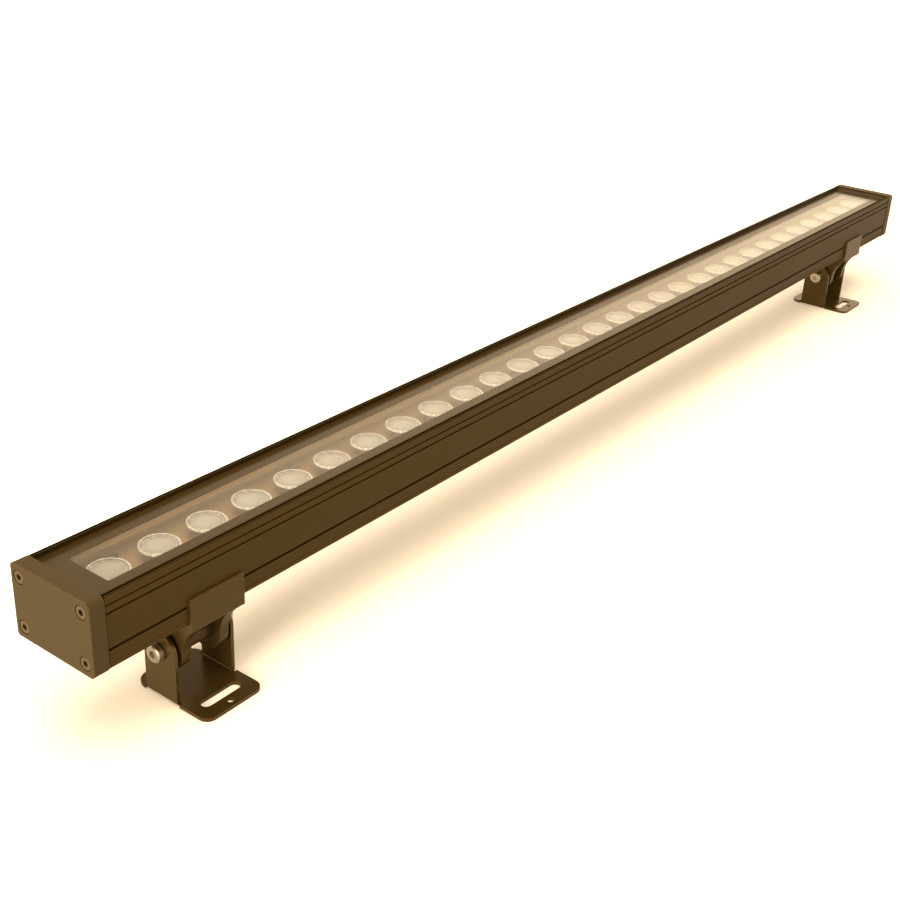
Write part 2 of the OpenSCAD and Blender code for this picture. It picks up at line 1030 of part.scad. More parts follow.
// a leg: round at the pivot, and swept out to both sides under the saddle
module leg_outline() {
  flare_y = leg_half + flare_r;
  leg_top = web_under + over;
  front_y = pivot_front - plate_out + leg_set;
  back_y = pivot_front + plate_out - leg_set;
  circle(leg_half);
  difference() {
    box2(front_y, back_y, 0, leg_top);
    for (s = [-1, 1])
      translate([s * flare_y, 0])
        circle(flare_r);
    box2(flare_y, max(flare_y, back_y) + over, -over, min(flare_r, web_under - over));
  }
}

module hanger(x) {
  color([0.42, 0.33, 0.2])
    at_pivot(x)
      difference() {
        union() {
          both_x(hanger_len)
            saddle_outline();
          for (x = [leg_in, -leg_out])
            translate([x, 0, 0])
              along_x(leg_t)
                leg_outline();
          for (x = [leg_out - eps, -hanger_len / 2])
            translate([x, 0, 0])
              rod_x(outer_boss_r, leg_inset + eps);
          for (x = [leg_in - inner_boss_len, -leg_in - eps])
            translate([x, 0, 0])
              rod_x(inner_boss_r, inner_boss_len + eps);
        }
        translate([-foot_out, 0, 0])
          rod_x(leg_hole_r, 2 * foot_out);
        translate([0, clamp_y, web_under - over])
          cylinder(r = clamp_r + run_gap, h = saddle_top - web_under + 2 * over);
      }
}

module spacer(x) {
  color([0.75, 0.68, 0.55])
    at_pivot(x)
      difference() {
        translate([inner_boss_len - leg_in, 0, 0])
          rod_x(spacer_r, spacer_len);
        translate([inner_boss_len - leg_in - over, 0, 0])
          rod_x(leg_hole_r, spacer_len + 2 * over);
      }
}

module clamp_screw(x) {
  color([0.2, 0.2, 0.2])
    at_pivot(x)
      translate([0, clamp_y, saddle_top - clamp_len])
        difference() {
          cylinder(r = clamp_r, h = clamp_len);
          translate([0, 0, -over])
            cylinder(r = clamp_socket_af / sqrt(3), h = clamp_socket_d + over, $fn = 6);
        }
}

// pivot hardware, in the pivot's frame

module pivot_bolt(x) {
  head_x = -foot_out - lock_t - bolt_head_h;
  tip_x = foot_out + nut_washer_t + nut_t + bolt_tip;
  color([0.78, 0.72, 0.6])
    at_pivot(x)
      difference() {
        union() {
          translate([head_x, 0, 0])
            rotate([0, 90, 0])
              rotate_extrude()
                polygon([
                  [0, 0], [bolt_head_r - bolt_edge, 0], [bolt_head_r, bolt_edge],
                  [bolt_head_r, bolt_head_h], [0, bolt_head_h]
                ]);
          translate([head_x + bolt_head_h - eps, 0, 0])
            rod_x(bolt_r, tip_x - head_x - bolt_head_h + eps);
        }
        translate([head_x - over, 0, 0])
          hex_x(bolt_socket_af, bolt_socket_d + over);
      }
}

module lock_washer(x) {
  color([0.25, 0.22, 0.18])
    at_pivot(x)
      translate([-foot_out - lock_t, 0, 0])
        difference() {
          rod_x(lock_r, lock_t);
          translate([-over, 0, 0])
            rod_x(bolt_r + lock_gap, lock_t + 2 * over);
          translate([-over, -lock_slit / 2, -lock_r - over])
            cube([lock_t + 2 * over, lock_slit, lock_r + over]);
        }
}

module nut_washer(x) {
  color([0.78, 0.72, 0.6])
    at_pivot(x)
      translate([foot_out, 0, 0])
        difference() {
          rod_x(nut_washer_r, nut_washer_t);
          translate([-over, 0, 0])
            rod_x(bolt_r + bolt_gap, nut_washer_t + 2 * over);
        }
}

module pivot_nut(x) {
  color([0.78, 0.72, 0.6])
    at_pivot(x)
      translate([foot_out + nut_washer_t, 0, 0])
        difference() {
          hex_x(nut_af, nut_t);
          translate([-over, 0, 0])
            rod_x(bolt_r + run_gap, nut_t + 2 * over);
        }
}

module near_foot() { foot(near_x); }
module near_pivot_bolt() { pivot_bolt(near_x); }
module near_lock_washer() { lock_washer(near_x); }
module near_nut_washer() { nut_washer(near_x); }
module near_pivot_nut() { pivot_nut(near_x); }
module near_hanger() { hanger(near_x); }
module near_spacer() { spacer(near_x); }
module near_clamp_screw() { clamp_screw(near_x); }
module far_foot() { foot(far_x); }
module far_pivot_bolt() { pivot_bolt(far_x); }
module far_lock_washer() { lock_washer(far_x); }
module far_nut_washer() { nut_washer(far_x); }
module far_pivot_nut() { pivot_nut(far_x); }
module far_hanger() { hanger(far_x); }
module far_spacer() { spacer(far_x); }
module far_clamp_screw() { clamp_screw(far_x); }

profile();
near_end_cap();
far_end_cap();
near_cap_gasket();
far_cap_gasket();
near_cap_screws();
far_cap_screws();
glass();
glass_seal();
led_board_1();
led_board_2();
led_board_3();
leds_1();
leds_2();
leds_3();
lens_seats_1();
lens_seats_2();
lens_seats_3();
lenses_1();
lenses_2();
lenses_3();
board_screws();
board_links();
driver_case();
driver_ends();
driver_pads();
terminal_block();
web_grommet();
board_leads();
board_plug();
gland_ring();
gland_body();
gland_seal();
gland_nut();
gland_lock_nut();
near_foot();
near_pivot_bolt();
near_lock_washer();
near_nut_washer();
near_pivot_nut();
near_hanger();
near_spacer();
near_clamp_screw();
far_foot();
far_pivot_bolt();
far_lock_washer();
far_nut_washer();
far_pivot_nut();
far_hanger();
far_spacer();
far_clamp_screw();
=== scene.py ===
"""Finishes, window print, stage and camera for an outdoor wall washer light, laid out as a Blender add-on."""

from functools import cache

import bpy
import numpy as np
from bpy.props import FloatProperty, FloatVectorProperty, IntProperty, PointerProperty
from bpy.types import Operator, Panel, PropertyGroup
from mathutils import Matrix, Vector


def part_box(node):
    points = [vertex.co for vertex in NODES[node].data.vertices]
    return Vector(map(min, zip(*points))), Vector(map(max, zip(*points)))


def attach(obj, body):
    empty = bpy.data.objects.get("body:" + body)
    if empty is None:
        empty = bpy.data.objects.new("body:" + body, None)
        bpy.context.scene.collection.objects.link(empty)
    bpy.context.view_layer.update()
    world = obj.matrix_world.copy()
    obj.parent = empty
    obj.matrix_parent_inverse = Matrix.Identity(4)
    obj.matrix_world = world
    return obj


bl_info = {
    "name": "Wall washer light",
    "version": (1, 0, 0),
    "blender": (4, 5, 0),
    "location": "View3D > Sidebar > Wall washer",
    "description": "Finishes a long outdoor light with a lens window and two tilting brackets",
    "category": "Object",
}

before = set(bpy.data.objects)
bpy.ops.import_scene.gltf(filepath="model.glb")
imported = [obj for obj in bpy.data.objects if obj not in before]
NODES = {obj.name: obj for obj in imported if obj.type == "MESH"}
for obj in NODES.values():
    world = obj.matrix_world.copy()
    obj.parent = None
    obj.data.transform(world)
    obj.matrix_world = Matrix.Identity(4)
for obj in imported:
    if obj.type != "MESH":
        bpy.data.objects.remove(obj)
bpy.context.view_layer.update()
GLASS_LOW, GLASS_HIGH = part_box("glass")
SECTION_LOW, SECTION_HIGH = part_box("profile")
SECTION_HALF = (SECTION_HIGH.y - SECTION_LOW.y) / 2
LENSES_PER_BOARD = 10

# where one finish ends and the next begins, in metres
RAIL_WIDTH = 0.0031      # of the rail on each side of the window
FINISH_MARGIN = 0.0002   # that a finish stops short of a face, or reaches past it
CHAMBER_INSET = 0.0021   # from the housing's sides to the uncoated chamber
BELOW_BOARDS = 0.0005    # that the chamber's finish reaches below the boards
CAP_RIM = 0.0003         # of the end caps' own colour above their inner faces
END_REACH = 0.0012       # that the inner finishes reach past the glass's ends
LENS_TOP = 0.0021        # of each lens that is clear, above its bowl

# border and bead: gap to the rails, lift off the glass and corner radius in metres, and number of rings
PRINT_GAP, PRINT_LIFT, PRINT_CORNER, PRINT_RINGS = 0.0002, 0.00004, 0.0003, 5
BEAD_GAP, BEAD_LIFT, BEAD_CORNER, BEAD_RINGS = 0.0001, 0.00006, 0.0004, 9
# thread: radius at its root, depth and distance from the bolt's end in metres, and number of rings
THREAD_ROOT, THREAD_DEPTH, THREAD_END, THREAD_RINGS = 0.00302, 0.00016, 0.0001, 40
# floor: radii of its hub, its next ring and its rim, and its depth under the feet, in metres
FLOOR_HUB, FLOOR_INNER, FLOOR_OUTER, FLOOR_DROP = 0.001, 0.05, 0.85, 0.0001
FLOOR_RINGS, FLOOR_STEPS = 16, 64

# noise cells per metre
CLOUD_CELLS, GRAIN_CELLS = 18.0, 1500.0
GLINT_CELLS = 420.0
SCRATCH_CELLS, TINT_CELLS = 2600.0, 160.0
UNEVEN_CELLS = 60.0

# worn edges with a painted highlight: the radius in metres that rounds the normal, and how fast the wear and
# highlight grow
EDGE_RADIUS, EDGE_GAIN = 0.0006, 3.0

# painted highlight and shade: how bright a lens is painted at shares of its radius, with a darker ring and a bright
# rim
LENS_PAINTED_SHADING = ((0.0, 0.66), (0.55, 0.64), (0.82, 0.48), (0.93, 0.42), (0.965, 1.0))
# painted glints: the share of the radius where they begin, the noise that they start above, and how fast they
# brighten
GLINTS_FROM, GLINTS_ABOVE, GLINTS_GAIN = 0.76, 0.52, 10.0

# colours that more than one finish or lamp uses, and the foot's share of the brackets' colour, which is painted
# shade for the feet under the housing
BOARD_TAN = (0.24, 0.18, 0.105)
RUBBER_BLACK = (0.02, 0.02, 0.02)
COAT_SHEEN = (1.0, 0.72, 0.36, 1.0)
WARM = (1.0, 0.80, 0.56)
FOOT_PAINTED_SHADE = 0.85

# the world: its colours from the horizon up
ROOM = ((0.10, WARM), (0.30, (0.72, 0.57, 0.39)), (0.60, (0.18, 0.14, 0.09)))
ROOM_STRENGTH = 2.3
# name, place, aim, width in metres and power in watts
LAMPS = (
    ("top", (-0.4, -0.25, 2.6), (0, 0, 0), 2.8, 125),
    ("left", (-4.4, -0.3, 0.75), (-0.4, 0, 0.05), 2.0, 320),
    ("back", (0.3, 1.9, 1.5), (0.3, 0.9, 0), 2.0, 16),
)
# the share of its light that the floor throws back on the object
FLOOR_BOUNCE = 0.55

# the camera fitted to the photograph: its axes point right, up and back from the view
CAMERA_LENS = 52.0003
CAMERA_SENSOR = 36
CAMERA_PLACE = (-0.794424, -0.418529, 0.424146)
CAMERA_AXES = (
    (0.609065, -0.791834, 0.045161),
    (0.32667, 0.302341, 0.895475),
    (-0.722722, -0.53065, 0.442814),
)


# settings

class LightSizes(PropertyGroup):
    """Sizes of the pieces that are added to the frame, in metres."""

    border_side: FloatProperty(
        name="Border side", description="Width of the printed border along the window",
        default=0.0049, min=0.001, max=0.012, subtype="DISTANCE", unit="LENGTH")
    border_end: FloatProperty(
        name="Border end", description="Width of the printed border at the window's ends",
        default=0.0128, min=0.002, max=0.03, subtype="DISTANCE", unit="LENGTH")
    border_corner: FloatProperty(
        name="Border corner", description="Corner radius of the clear window",
        default=0.0015, min=0.0002, max=0.006, subtype="DISTANCE", unit="LENGTH")
    bead_width: FloatProperty(
        name="Bead width", description="Width of the sealing bead in the corner of the window's rails",
        default=0.0007, min=0.0002, max=0.004, subtype="DISTANCE", unit="LENGTH")
    bead_height: FloatProperty(
        name="Bead height", description="Height of the sealing bead up the window's rails",
        default=0.0006, min=0.0002, max=0.0025, subtype="DISTANCE", unit="LENGTH")
    thread_pitch: FloatProperty(
        name="Thread pitch", description="Pitch of the pivot bolt's thread",
        default=0.001, min=0.0005, max=0.002, subtype="DISTANCE", unit="LENGTH")
    thread_steps: IntProperty(
        name="Thread steps", description="Points round the pivot bolt's thread",
        default=48, min=16, max=96)


class LightFinishes(PropertyGroup):
    """Colours of the light's finishes."""

    housing: FloatVectorProperty(
        name="Housing", description="Powder coat of the extruded housing",
        default=(0.038, 0.0240, 0.0068), size=3, min=0, max=1, subtype="COLOR")
    caps: FloatVectorProperty(
        name="End caps", description="Powder coat of the end caps",
        default=(0.045, 0.033, 0.0155), size=3, min=0, max=1, subtype="COLOR")
    border: FloatVectorProperty(
        name="Window border", description="Printed border on the glass",
        default=(0.0315, 0.0205, 0.0062), size=3, min=0, max=1, subtype="COLOR")
    # painted shade: the darker colour of the rails' tops and inner faces, and of the end caps' and gaskets' faces
    # above the glass
    rail_shade: FloatVectorProperty(
        name="Window rails", description="Tops and inner faces of the rails round the window",
        default=(0.019, 0.0112, 0.0024), size=3, min=0, max=1, subtype="COLOR")
    chamber: FloatVectorProperty(
        name="Light chamber", description="Uncoated inside of the chamber under the glass",
        default=(0.43, 0.33, 0.19), size=3, min=0, max=1, subtype="COLOR")
    brackets: FloatVectorProperty(
        name="Brackets", description="Powder coat of the feet and hangers",
        default=(0.033, 0.0205, 0.0045), size=3, min=0, max=1, subtype="COLOR")
    fixings: FloatVectorProperty(
        name="Fixings", description="Plated steel of the bolts and screws",
        default=(0.50, 0.45, 0.36), size=3, min=0, max=1, subtype="COLOR")
    cap_screws: FloatVectorProperty(
        name="Cap screws", description="Bronzed steel of the end cap screws",
        default=(0.17, 0.125, 0.075), size=3, min=0, max=1, subtype="COLOR")
    lenses: FloatVectorProperty(
        name="Lenses", description="Moulded lens material",
        default=(0.86, 0.94, 1.0), size=3, min=0, max=1, subtype="COLOR")
    floor: FloatVectorProperty(
        name="Floor", description="Pale floor",
        default=(0.93, 0.92, 0.90), size=3, min=0, max=1, subtype="COLOR")


# mesh helpers

def ring_object(name, points, flip=False):
    """An object from points of shape (rings, steps, 3): quads join each ring to the next, and every ring closes."""
    rings, steps = points.shape[:2]
    u, v = np.meshgrid(np.arange(rings - 1), np.arange(steps), indexing="ij")
    after = (v + 1) % steps
    quads = np.stack([u * steps + v, (u + 1) * steps + v, (u + 1) * steps + after, u * steps + after], -1)
    quads = quads.reshape(-1, 4)
    if flip:
        quads = quads[:, ::-1]
    mesh = bpy.data.meshes.new(name)
    mesh.vertices.add(rings * steps)
    mesh.vertices.foreach_set("co", points.reshape(-1).astype(np.float32))
    mesh.loops.add(quads.size)
    mesh.loops.foreach_set("vertex_index", quads.reshape(-1).astype(np.int32))
    mesh.polygons.add(len(quads))
    mesh.polygons.foreach_set("loop_start", np.arange(0, quads.size, 4, dtype=np.int32))
    mesh.polygons.foreach_set("loop_total", np.full(len(quads), 4, np.int32))
    mesh.update(calc_edges=True)
    mesh.validate()
    obj = bpy.data.objects.new(name, mesh)
    bpy.context.scene.collection.objects.link(obj)
    return obj


def round_loop(half_x, half_y, radius, steps=8):
    """Points of a rectangle with round corners, anticlockwise: four quarter circles, joined by straight runs."""
    t = np.linspace(0, np.pi / 2, steps)
    turns = np.arange(4)[:, None] * (np.pi / 2) + t[None, :]
    cx = np.array([1, -1, -1, 1])[:, None] * (half_x - radius)
    cy = np.array([1, 1, -1, -1])[:, None] * (half_y - radius)
    return np.stack([(cx + radius * np.cos(turns)).ravel(), (cy + radius * np.sin(turns)).ravel()], -1)


# node helpers

def rgba(rgb):
    """A colour with full alpha."""
    return (*rgb, 1.0)


def plug(tree, value, socket):
    """Sets a socket to a number, or links another node's socket to it."""
    if isinstance(value, (int, float)):
        socket.default_value = value
    else:
        tree.links.new(value, socket)


def math_node(tree, kind, a, b=None, clamp=False):
    """The result of a Math node on one or two numbers or sockets."""
    node = tree.nodes.new("ShaderNodeMath")
    node.operation = kind
    node.use_clamp = clamp
    plug(tree, a, node.inputs[0])
    if b is not None:
        plug(tree, b, node.inputs[1])
    return node.outputs[0]


def vector_node(tree, kind, a, b=None):
    """The outputs of a Vector Math node on one or two sockets."""
    node = tree.nodes.new("ShaderNodeVectorMath")
    node.operation = kind
    tree.links.new(a, node.inputs[0])
    if b is not None:
        tree.links.new(b, node.inputs[1])
    return node.outputs


def scaled(tree, colour, gain):
    """A colour times a number that changes over the surface."""
    node = tree.nodes.new("ShaderNodeVectorMath")
    node.operation = "SCALE"
    tree.links.new(colour, node.inputs[0])
    tree.links.new(gain, node.inputs["Scale"])
    return node.outputs["Vector"]


def split(tree, vector):
    """The X, Y and Z outputs of a vector."""
    node = tree.nodes.new("ShaderNodeSeparateXYZ")
    tree.links.new(vector, node.inputs[0])
    return node.outputs


def coordinate(tree, kind="Object"):
    """A point's place on the object, or a direction in the world."""
    return tree.nodes.new("ShaderNodeTexCoord").outputs[kind]


def noise(tree, place, cells, detail=2.0):
    """Noise from 0 to 1; its cells per metre are a number or a socket."""
    node = tree.nodes.new("ShaderNodeTexNoise")
    node.inputs["Detail"].default_value = detail
    plug(tree, cells, node.inputs["Scale"])
    tree.links.new(place, node.inputs["Vector"])
    return node.outputs["Fac"]


def swing(tree, value, amount):
    """Noise that is moved to lie about zero, times an amount."""
    return math_node(tree, "MULTIPLY", math_node(tree, "SUBTRACT", value, 0.5), amount)


def ramp(tree, factor, stops):
    """A colour ramp through pairs of a position and a colour, lowest first."""
    node = tree.nodes.new("ShaderNodeValToRGB")
    elements = node.color_ramp.elements
    for element, (spot, rgb) in ((elements[0], stops[0]), (elements[1], stops[-1])):
        element.position, element.color = spot, rgba(rgb)
    for spot, rgb in stops[1:-1]:
        elements.new(spot).color = rgba(rgb)
    tree.links.new(factor, node.inputs["Fac"])
    return node.outputs["Color"]


def mixed(tree, mask, first, second):
    """The first colour where the mask is 0, and the second where it is 1."""
    node = tree.nodes.new("ShaderNodeMix")
    node.data_type = "RGBA"
    # a mix node's colour sockets are numbers 6 and 7, and its colour result is number 2
    tree.links.new(mask, node.inputs[0])
    tree.links.new(first, node.inputs[6])
    tree.links.new(second, node.inputs[7])
    return node.outputs[2]


# shared node groups

def new_group(name, inputs, outputs=("Colour", "Roughness", "Height")):
    """An empty group. The default of an input tells its kind: four numbers are a colour, and three a vector."""
    tree = bpy.data.node_groups.new(name, "ShaderNodeTree")
    for label, default in inputs.items():
        length = len(default) if isinstance(default, tuple) else 1
        kind = {4: "NodeSocketColor", 3: "NodeSocketVector", 1: "NodeSocketFloat"}[length]
        socket = tree.interface.new_socket(name=label, in_out="INPUT", socket_type=kind)
        socket.default_value = default
    for label in outputs:
        kind = "NodeSocketColor" if label == "Colour" else "NodeSocketFloat"
        tree.interface.new_socket(name=label, in_out="OUTPUT", socket_type=kind)
    return tree, tree.nodes.new("NodeGroupInput").outputs, tree.nodes.new("NodeGroupOutput").inputs


@cache
def coat_group():
    """Powder coat: clouds and a fine grain change the colour, edges are lighter as wear and as a painted highlight,
    the grain is a height.
    """
    tree, given, result = new_group("powder_coat", {
        "Colour": (0.1, 0.06, 0.03, 1.0), "Cloud": 0.1, "Grain": 0.1, "Wear And Highlight": 0.3, "Roughness": 0.42})
    place = coordinate(tree)
    cloud = noise(tree, place, CLOUD_CELLS, detail=3.0)
    grain = noise(tree, place, GRAIN_CELLS)
    gain = math_node(tree, "ADD", swing(tree, cloud, given["Cloud"]), swing(tree, grain, given["Grain"]))
    gain = math_node(tree, "ADD", gain, 1.0)
    # rounded and true normals differ at an edge
    rounded = tree.nodes.new("ShaderNodeBevel")
    rounded.samples = 4
    rounded.inputs["Radius"].default_value = EDGE_RADIUS
    true = tree.nodes.new("ShaderNodeNewGeometry").outputs["True Normal"]
    alike = vector_node(tree, "DOT_PRODUCT", rounded.outputs["Normal"], true)["Value"]
    edge = math_node(tree, "MULTIPLY", math_node(tree, "SUBTRACT", 1.0, alike), EDGE_GAIN, clamp=True)
    # edges painted lighter: partly wear, partly a painted highlight
    gain = math_node(tree, "ADD", gain, math_node(tree, "MULTIPLY", edge, given["Wear And Highlight"]))
    rough = math_node(tree, "ADD", given["Roughness"], math_node(tree, "MULTIPLY", cloud, 0.10))
    tree.links.new(scaled(tree, given["Colour"], gain), result["Colour"])
    tree.links.new(rough, result["Roughness"])
    tree.links.new(grain, result["Height"])
    return tree


@cache
def lens_shading_group():
    """Painted highlight and shade round each lens axis: a pale dome, a darker ring about it and a bright rim, with
    a bowl below.
    """
    tree, given, result = new_group("lens_painted_shading", {
        "Colour": (0.9, 0.9, 0.9, 1.0), "Bowl": (0.1, 0.1, 0.1, 1.0), "First": 0.0, "Pitch": 0.03,
        "Middle": 0.03, "Radius": 0.01, "Flange": 0.08}, outputs=("Colour",))
    place = split(tree, coordinate(tree))
    # how far a point is from the nearest lens axis, along and across the row
    step = math_node(tree, "SUBTRACT", place["X"], given["First"])
    step = math_node(tree, "DIVIDE", step, given["Pitch"])
    along = math_node(tree, "SUBTRACT", step, math_node(tree, "ROUND", step))
    flat = tree.nodes.new("ShaderNodeCombineXYZ")
    tree.links.new(math_node(tree, "MULTIPLY", along, given["Pitch"]), flat.inputs[0])
    tree.links.new(math_node(tree, "SUBTRACT", place["Y"], given["Middle"]), flat.inputs[1])
    away = vector_node(tree, "LENGTH", flat.outputs[0])["Value"]
    share = math_node(tree, "DIVIDE", away, given["Radius"])
    painted_lens_shading = ramp(tree, share, [(spot, (grey, grey, grey)) for spot, grey in LENS_PAINTED_SHADING])
    # painted glints: short bright streaks near the rim, where the moulding would bend light
    painted_glints = noise(tree, flat.outputs[0], GLINT_CELLS, detail=3.0)
    glint = math_node(tree, "SUBTRACT", painted_glints, GLINTS_ABOVE)
    glint = math_node(tree, "MULTIPLY", glint, GLINTS_GAIN, clamp=True)
    near_rim = math_node(tree, "GREATER_THAN", share, GLINTS_FROM)
    gain = math_node(tree, "ADD", math_node(tree, "MULTIPLY", glint, near_rim), 1.0)
    lens = vector_node(tree, "MULTIPLY", given["Colour"], scaled(tree, painted_lens_shading, gain))["Vector"]
    above = math_node(tree, "GREATER_THAN", place["Z"], given["Flange"])
    tree.links.new(mixed(tree, above, given["Bowl"], lens), result["Colour"])
    return tree


@cache
def inside_group():
    """Mixes a second colour in where a point lies between two ends, two sides and two heights."""
    tree, given, result = new_group("inside_faces", {
        "Outside": (0.1, 0.06, 0.03, 1.0), "Inside": (0.5, 0.4, 0.3, 1.0), "Middle": (0.0, 0.03, 0.0),
        "Half Width": 0.02, "Half Length": 0.5, "Low": 0.07, "High": 0.09}, outputs=("Colour",))
    place = split(tree, coordinate(tree))
    middle = split(tree, given["Middle"])
    mask = 1.0
    for axis, half in (("X", "Half Length"), ("Y", "Half Width")):
        off = math_node(tree, "ABSOLUTE", math_node(tree, "SUBTRACT", place[axis], middle[axis]))
        mask = math_node(tree, "MULTIPLY", mask, math_node(tree, "LESS_THAN", off, given[half]))
    for kind, limit in (("GREATER_THAN", "Low"), ("LESS_THAN", "High")):
        mask = math_node(tree, "MULTIPLY", mask, math_node(tree, kind, place["Z"], given[limit]))
    tree.links.new(mixed(tree, mask, given["Outside"], given["Inside"]), result["Colour"])
    return tree


@cache
def steel_group():
    """Turned metal: a slow tint changes the colour, and fine scratches change the roughness and give a height."""
    tree, given, result = new_group("turned_metal", {"Colour": (0.7, 0.6, 0.4, 1.0), "Roughness": 0.3})
    place = coordinate(tree)
    stretched = tree.nodes.new("ShaderNodeMapping")
    stretched.inputs["Scale"].default_value = (1.0, 0.25, 0.25)
    tree.links.new(place, stretched.inputs["Vector"])
    scratches = noise(tree, stretched.outputs["Vector"], SCRATCH_CELLS)
    tint = noise(tree, place, TINT_CELLS)
    gain = math_node(tree, "ADD", math_node(tree, "MULTIPLY", tint, 0.16), 0.92)
    rough = math_node(tree, "ADD", given["Roughness"], math_node(tree, "MULTIPLY", scratches, 0.08))
    tree.links.new(scaled(tree, given["Colour"], gain), result["Colour"])
    tree.links.new(rough, result["Roughness"])
    tree.links.new(scratches, result["Height"])
    return tree


@cache
def moulded_group():
    """Moulded plastic or rubber: a slow unevenness changes colour and roughness, a fine stipple is a height."""
    tree, given, result = new_group("moulded_skin", {
        "Colour": (0.5, 0.5, 0.5, 1.0), "Uneven": 0.1, "Roughness": 0.5, "Scale": 400.0})
    place = coordinate(tree)
    uneven = swing(tree, noise(tree, place, UNEVEN_CELLS), given["Uneven"])
    gain = math_node(tree, "ADD", uneven, 1.0)
    rough = math_node(tree, "MULTIPLY", uneven, 0.5)
    rough = math_node(tree, "ADD", given["Roughness"], rough, clamp=True)
    tree.links.new(scaled(tree, given["Colour"], gain), result["Colour"])
    tree.links.new(rough, result["Roughness"])
    tree.links.new(noise(tree, place, given["Scale"]), result["Height"])
    return tree


# materials

def placed(tree, group, inputs):
    """A shared group in a material, with its own values."""
    node = tree.nodes.new("ShaderNodeGroup")
    node.node_tree = group
    for label, value in inputs.items():
        node.inputs[label].default_value = value
    return node


def shader_of(mat):
    """A material's Principled shader."""
    return mat.node_tree.nodes["Principled BSDF"]


def material(name, group, inputs, bump=0.0, distance=0.0, **shader):
    """A material from one shared group; a number that is the same all over goes straight onto the shader."""
    mat = bpy.data.materials.new(name)
    mat.use_nodes = True
    tree = mat.node_tree
    bsdf = shader_of(mat)
    node = placed(tree, group, inputs)
    tree.links.new(node.outputs["Colour"], bsdf.inputs["Base Color"])
    tree.links.new(node.outputs["Roughness"], bsdf.inputs["Roughness"])
    if bump:
        lift = tree.nodes.new("ShaderNodeBump")
        lift.inputs["Strength"].default_value = bump
        lift.inputs["Distance"].default_value = distance
        tree.links.new(node.outputs["Height"], lift.inputs["Height"])
        tree.links.new(lift.outputs["Normal"], bsdf.inputs["Normal"])
    for label, value in shader.items():
        bsdf.inputs[label.replace("_", " ").title().replace("Ior", "IOR")].default_value = value
    return mat


def powder(name, rgb, wear_and_highlight=0.0, cloud=0.12, grain=0.25, rough=0.42, shine=0.12):
    """Powder coat: a fine grain with a weak, warm shine."""
    look = {"Colour": rgba(rgb), "Cloud": cloud, "Grain": grain, "Wear And Highlight": wear_and_highlight, "Roughness": rough}
    return material(name, coat_group(), look, bump=0.12, distance=0.00006, specular_ior_level=shine,
                    specular_tint=COAT_SHEEN)


def metal(name, rgb, rough):
    """Bare or plated metal with fine scratches."""
    return material(name, steel_group(), {"Colour": rgba(rgb), "Roughness": rough},
                    bump=0.08, distance=0.00004, metallic=1.0)


def plastic(name, rgb, rough=0.5, uneven=0.1, scale=400.0, bump=0.05, shine=0.5):
    """Moulded plastic, rubber or board with a fine stipple."""
    look = {"Colour": rgba(rgb), "Uneven": uneven, "Roughness": rough, "Scale": scale}
    return material(name, moulded_group(), look, bump=bump, distance=0.00005, specular_ior_level=shine)


def recolour(mat, group, label, inputs):
    """Puts a shared group between a material's colour, which goes into the named input, and its shader."""
    base = shader_of(mat).inputs["Base Color"]
    node = placed(mat.node_tree, group, inputs)
    mat.node_tree.links.new(base.links[0].from_socket, node.inputs[label])
    mat.node_tree.links.new(node.outputs["Colour"], base)


def paint(mat, *names):
    """Gives CAD nodes or new pieces one material."""
    for name in names:
        obj = NODES.get(name) or bpy.data.objects[name]
        obj.data.materials.clear()
        obj.data.materials.append(mat)


# operators

class LIGHT_OT_housing(Operator):
    """Powder coat on the extruded housing and its end caps, and rubber on their gaskets, with painted shade on the
    window's rails and on the faces above the glass
    """

    bl_idname = "light.housing"
    bl_label = "Housing"

    def execute(self, context):
        looks = context.scene.light_finishes
        coat = powder("housing_coat", looks.housing, wear_and_highlight=1.6)
        cap = powder("cap_coat", looks.caps, wear_and_highlight=0.9)
        # painted light: the gasket's brown is lightened to hide the shade in the set-back joints between the caps,
        # the glass and the housing
        gasket_painted_light = plastic("gasket_rubber", (0.080, 0.050, 0.018), rough=0.6)
        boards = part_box("led_board_1")[0].z - BELOW_BOARDS
        over_glass = GLASS_HIGH.z + FINISH_MARGIN
        rail_tops = SECTION_HIGH.z + FINISH_MARGIN
        cap_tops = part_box("far_end_cap")[1].z - CAP_RIM
        self.inside(coat, looks.chamber, SECTION_HALF - CHAMBER_INSET, boards, GLASS_LOW.z)
        # painted shade on the rails' tops and inner faces above the glass
        self.inside(coat, looks.rail_shade, SECTION_HALF - FINISH_MARGIN, over_glass, rail_tops)
        # painted shade on the end caps' and gaskets' faces above the glass
        for mat in (cap, gasket_painted_light):
            self.inside(mat, looks.rail_shade, SECTION_HALF - RAIL_WIDTH + FINISH_MARGIN, over_glass, cap_tops)
        paint(coat, "profile")
        paint(cap, "near_end_cap", "far_end_cap")
        paint(gasket_painted_light, "near_cap_gasket", "far_cap_gasket", "glass_seal")
        return {"FINISHED"}

    def inside(self, mat, rgb, half, low, high):
        """Another colour on the faces between the side walls and the end caps, from one height to another."""
        recolour(mat, inside_group(), "Outside", {
            "Inside": rgba(rgb), "Middle": (GLASS_LOW + GLASS_HIGH) / 2, "Half Width": half,
            "Half Length": (GLASS_HIGH.x - GLASS_LOW.x) / 2 + END_REACH, "Low": low, "High": high})


